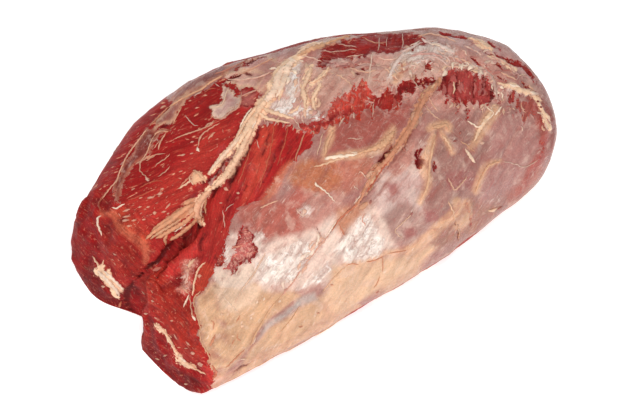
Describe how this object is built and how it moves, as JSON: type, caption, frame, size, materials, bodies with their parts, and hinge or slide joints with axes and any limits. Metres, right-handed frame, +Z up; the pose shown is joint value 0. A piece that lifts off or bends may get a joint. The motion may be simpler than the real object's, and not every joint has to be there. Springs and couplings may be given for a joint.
{
  "type": "raw beef heel muscle",
  "caption": "Whole boneless raw beef heel muscle: a long rounded block of meat with a cross-cut end, a blunt round end, a fat seam along the top and silverskin over the side.",
  "frame": {"origin": "bottom centre of the bounding box, on the surface that the meat lies on", "axes": "+X along the length towards the rounded end, the cross-cut end at -X; +Z up; the side covered in silverskin faces -Y"},
  "size_m": [0.243, 0.1464, 0.0956],
  "materials": {
    "meat": "raw wet beef: deep red muscle with marbling, translucent mauve to pearly silverskin and cream fat, moist sheen"
  },
  "bodies": {
    "root": {"heel_muscle": "meat"}
  },
  "joints": []
}
